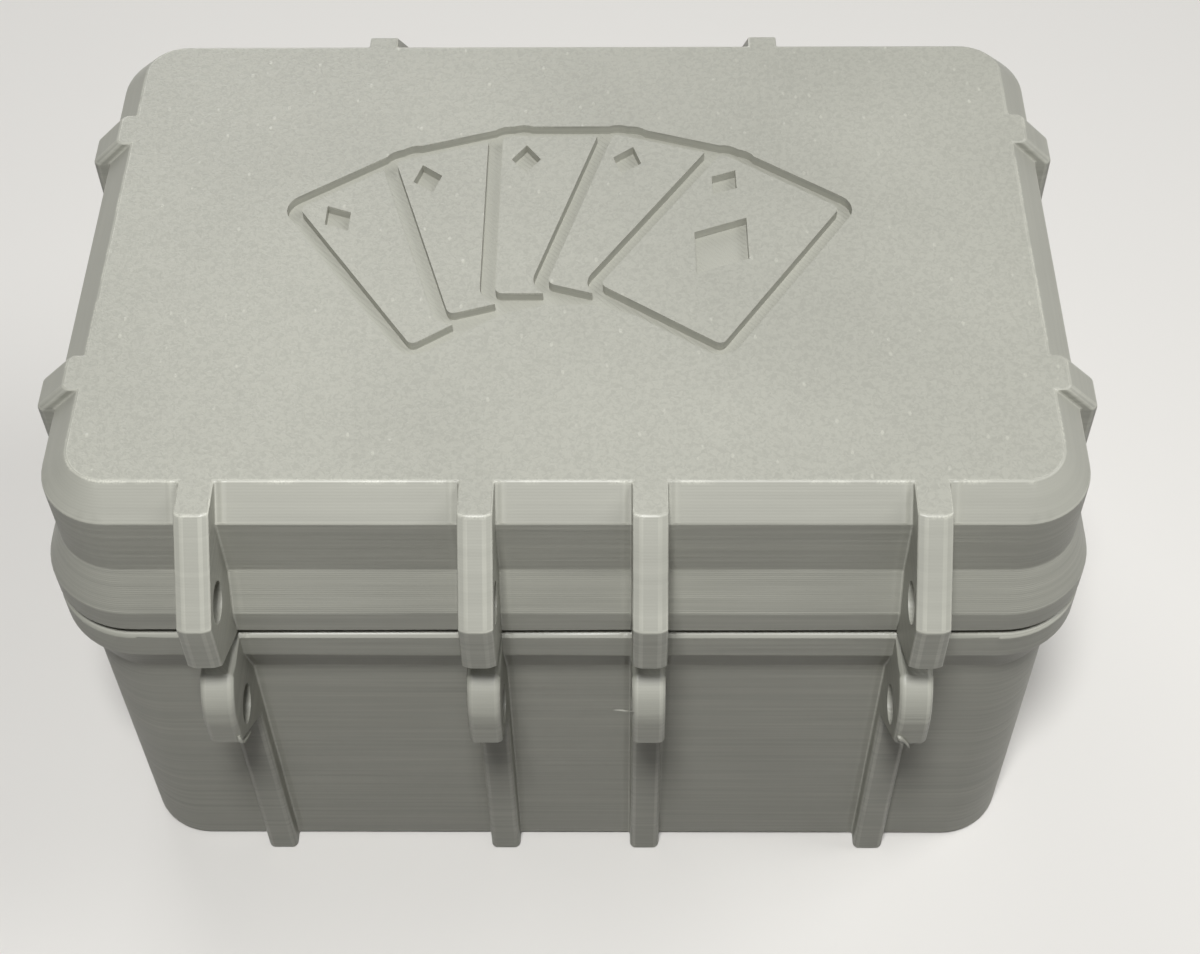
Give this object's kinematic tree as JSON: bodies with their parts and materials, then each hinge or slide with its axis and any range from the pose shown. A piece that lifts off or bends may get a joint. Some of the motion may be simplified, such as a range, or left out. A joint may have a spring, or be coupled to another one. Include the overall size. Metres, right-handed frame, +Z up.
{
  "type": "card game box",
  "caption": "Hinged rugged plastic carry box with flared rims, latch ribs and a rim seal, holding a deck of playing cards sorted by colour over a folded rules leaflet.",
  "frame": {"origin": "on the table under the middle of the closed box", "axes": "+X along the box to its right, +Y from the latch side to the hinge, +Z up"},
  "size_m": [0.1, 0.0824, 0.0624],
  "materials": {
    "box_plastic": "satin grey with fine layer lines",
    "seal_rubber": "matte",
    "screw_steel": "zinc plated",
    "leaflet_paper": "uncoated paper",
    "blue_card": "coated card",
    "green_card": "coated card",
    "yellow_card": "coated card",
    "red_card": "coated card",
    "wild_card": "coated card"
  },
  "bodies": {
    "base": {"base_shell": "box_plastic", "rim_seal": "seal_rubber", "hinge_screw_right": "screw_steel", "hinge_screw_left": "screw_steel", "rules_leaflet": "leaflet_paper", "blue_cards": "blue_card", "green_cards": "green_card", "yellow_cards": "yellow_card", "red_cards": "red_card", "wild_cards": "wild_card"},
    "lid": {"lid_shell": "box_plastic"}
  },
  "joints": [
    {"name": "lid_hinge", "type": "hinge", "parent": "base", "child": "lid", "pos_m": [0, 0.0378, 0.04397], "axis": [-1, 0, 0], "range_deg": [0, 180]}
  ]
}
